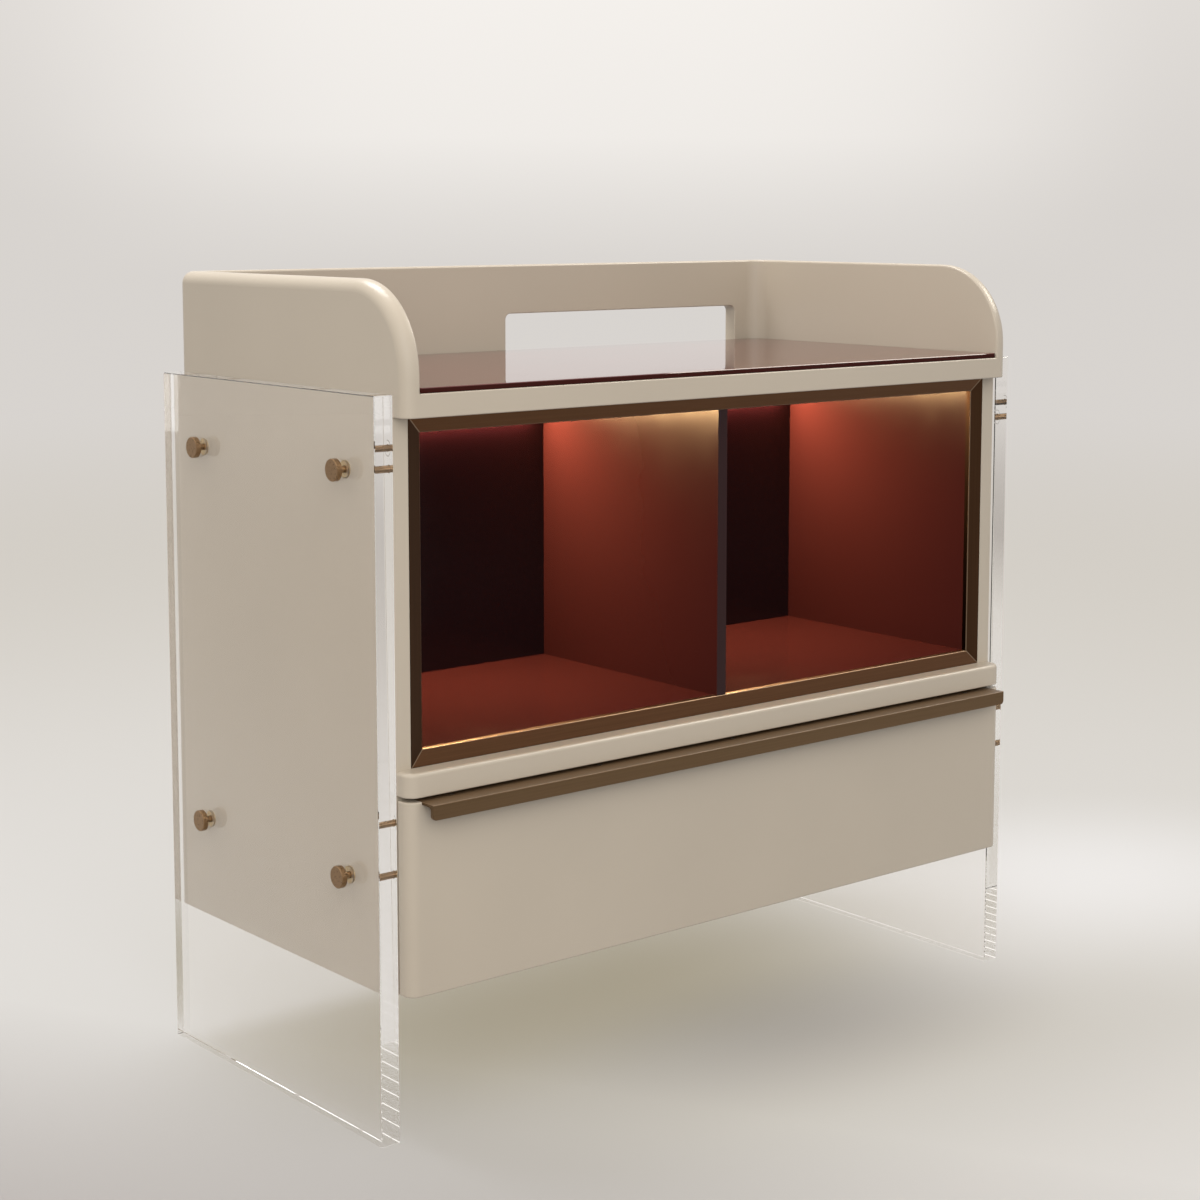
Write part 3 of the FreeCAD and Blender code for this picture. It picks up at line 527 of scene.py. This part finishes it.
def light_world():
    """A pale backdrop all round, a little brighter overhead and low behind the cabinet."""
    world = bpy.data.worlds.new("studio")
    bpy.context.scene.world = world
    world.use_nodes = True
    tree = world.node_tree
    direction = put(tree, "ShaderNodeTexCoord").outputs["Generated"]
    height = axes(tree, direction)["Z"]
    rise = ramp(tree, height, 0.0, backdrop_rise)
    pale = mixed(tree, rise, backdrop_low, backdrop_high)
    nearness = along(tree, direction, glow_towards)
    spot = ramp(tree, nearness, glow_reach, 1.0, kind="SMOOTHSTEP")
    spot = calculate(tree, "MULTIPLY", spot, ramp(tree, height, -glow_height, glow_height))
    lit = mixed(tree, spot, pale, backdrop_glow, kind="ADD")
    tree.links.new(lit, tree.nodes["Background"].inputs["Color"])


def pool(tree, where, centre, reach):
    """A number that falls softly from 1 at a place on the floor to 0 so far from it along each axis."""
    step = combine(tree, "DIVIDE", combine(tree, "SUBTRACT", where, centre), reach)
    return ramp(tree, length(tree, step), 0.0, 1.0, 1.0, 0.0, kind="SMOOTHSTEP")


def floor_finish():
    """
    A matt floor which fades into the backdrop, so that no horizon shows, with painted shade towards the
    left front, a painted shadow before the cabinet and a painted pool of light to the right of it. Its
    glow, which also lightens and warms the cabinet's shadow as painted bounce light, and its fading show
    to the eye and in reflections, and light nothing.
    """
    material = bpy.data.materials.new("floor")
    material.use_nodes = True
    tree = material.node_tree
    matt = tree.nodes["Principled BSDF"]
    matt.inputs["Roughness"].default_value = floor_roughness
    matt.inputs["Specular IOR Level"].default_value = floor_shine
    where = put(tree, "ShaderNodeTexCoord").outputs["Object"]

    # Painted shade towards the left front, and a painted shadow before the cabinet
    nearness = along(tree, where, floor_painted_dim_towards)
    painted_dim = ramp(tree, nearness, floor_painted_dim_from, floor_painted_dim_to, 1.0, floor_painted_dim_least)
    painted_shadow = pool(tree, where, floor_painted_shadow_place, floor_painted_shadow_reach)
    painted_dim = calculate(tree, "MULTIPLY", painted_dim, ramp(tree, painted_shadow, 0.0, 1.0, 1.0, floor_painted_shadow_least))
    feed(tree, matt, base_color=mixed(tree, painted_dim, floor_painted_dim_colour, floor_colour))

    rays = put(tree, "ShaderNodeLightPath").outputs
    seen = calculate(tree, "MAXIMUM", rays["Is Camera Ray"], rays["Is Glossy Ray"])
    seen = calculate(tree, "MAXIMUM", seen, rays["Is Transmission Ray"])
    # The glow, darkened by the painted shade, plus the painted pool of light right of the cabinet
    glow_with_painted_shade = scaled(tree, floor_glow_and_painted_bounce, painted_dim)
    pale = scaled(tree, floor_painted_light, pool(tree, where, floor_painted_light_place, floor_painted_light_reach))
    sockets = {"Color": combine(tree, "ADD", glow_with_painted_shade, pale), "Strength": seen}
    glow = put(tree, "ShaderNodeEmission", sockets)
    near = put(tree, "ShaderNodeAddShader", {0: matt.outputs[0], 1: glow.outputs[0]})

    fade = ramp(tree, length(tree, where), floor_fade_from, floor_fade_to, kind="SMOOTHSTEP")
    share = calculate(tree, "MULTIPLY", fade, seen)
    far = put(tree, "ShaderNodeEmission", {"Color": opaque(backdrop_low), "Strength": 1.0})
    show(tree, put(tree, "ShaderNodeMixShader", {0: share, 1: near.outputs[0], 2: far.outputs[0]}))
    return material


def lay_floor():
    bpy.ops.mesh.primitive_circle_add(vertices=floor_sides, radius=floor_reach, fill_type="NGON")
    floor = bpy.context.object
    floor.name = "floor"
    floor.data.materials.append(floor_finish())


def hang_lamp(name, watts, shape, spot, rotation):
    """A lamp that lights the scene without showing in it."""
    data = bpy.data.lights.new(name, "AREA")
    data.energy = watts
    data.shape = shape
    lamp = bpy.data.objects.new(name, data)
    bpy.context.scene.collection.objects.link(lamp)
    lamp.location = spot
    lamp.rotation_euler = rotation
    lamp.visible_camera = False
    return lamp


def hang_softbox(name, spot, size, watts):
    """A wide round lamp that points at the middle of the cabinet."""
    aim = Vector(lamp_aim) - Vector(spot)
    lamp = hang_lamp(name, watts, "DISK", spot, aim.to_track_quat("-Z", "Y").to_euler())
    lamp.data.size = size
    return lamp


def light_studio():
    """A lamp overhead, a wide one from the front left, and one that shows only in reflections."""
    hang_softbox("overhead", overhead_place, overhead_size, overhead_watts)
    fill = hang_softbox("fill", fill_place, fill_size, fill_watts)
    fill.visible_glossy = False
    edge = hang_softbox("edge_light", edge_place, edge_size, edge_watts)
    edge.data.color = edge_colour
    edge.visible_diffuse = False
    edge.visible_transmission = False


# What the lamps in the bays light: the opening keeps their light off the floor and the front
lit_nodes = {
    "beam": (
        "liner_floor", "liner_ceiling", "liner_left", "liner_right", "bay_divider",
        "frame_left", "frame_right", "frame_top", "frame_bottom",
    ),
    "wash": ("liner_back",),
}


def light_bays():
    """Each bay's beam, a little short of both ends of its cover, and the wash that reaches the back."""
    groups = {}
    for part, names in lit_nodes.items():
        groups[part] = bpy.data.collections.new("lit_by_" + part)
        for name in names:
            groups[part].objects.link(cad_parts[name])
    for side in ("left", "right"):
        low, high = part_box("led_cover_" + side)
        middle = (low + high) / 2
        rise, reach = high.z - low.z, high.y - low.y
        slope = math.atan2(rise, reach)
        before = middle + Vector((0.0, -rise, -reach)).normalized() * beam_gap
        under = Vector((middle.x, high.y - wash_gap, low.z - wash_drop))
        parts = (
            ("beam", beam_watts, lamp_colour, before, -slope, math.hypot(rise, reach)),
            ("wash", wash_watts, wash_colour, under, 0.0, wash_width),
        )
        for part, watts, colour, spot, turn, width in parts:
            lamp = hang_lamp(f"{part}_{side}", watts, "RECTANGLE", spot, (turn, 0.0, 0.0))
            lamp.data.color = colour
            lamp.data.size = high.x - low.x - 2 * beam_end_gap
            lamp.data.size_y = width
            lamp.light_linking.receiver_collection = groups[part]


def set_camera():
    data = bpy.data.cameras.new("camera")
    data.sensor_width = sensor_width
    data.lens = camera_lens
    data.shift_y = camera_shift
    camera = bpy.data.objects.new("camera", data)
    bpy.context.scene.collection.objects.link(camera)
    camera.location = camera_place
    camera.rotation_euler = (camera_tilt, 0.0, camera_turn)
    bpy.context.scene.camera = camera


dress_nodes()
light_world()
lay_floor()
light_studio()
light_bays()
set_camera()
bpy.context.scene.cycles.max_bounces = light_bounces
bpy.context.scene.cycles.glossy_bounces = light_bounces
bpy.context.scene.view_settings.view_transform = "Standard"
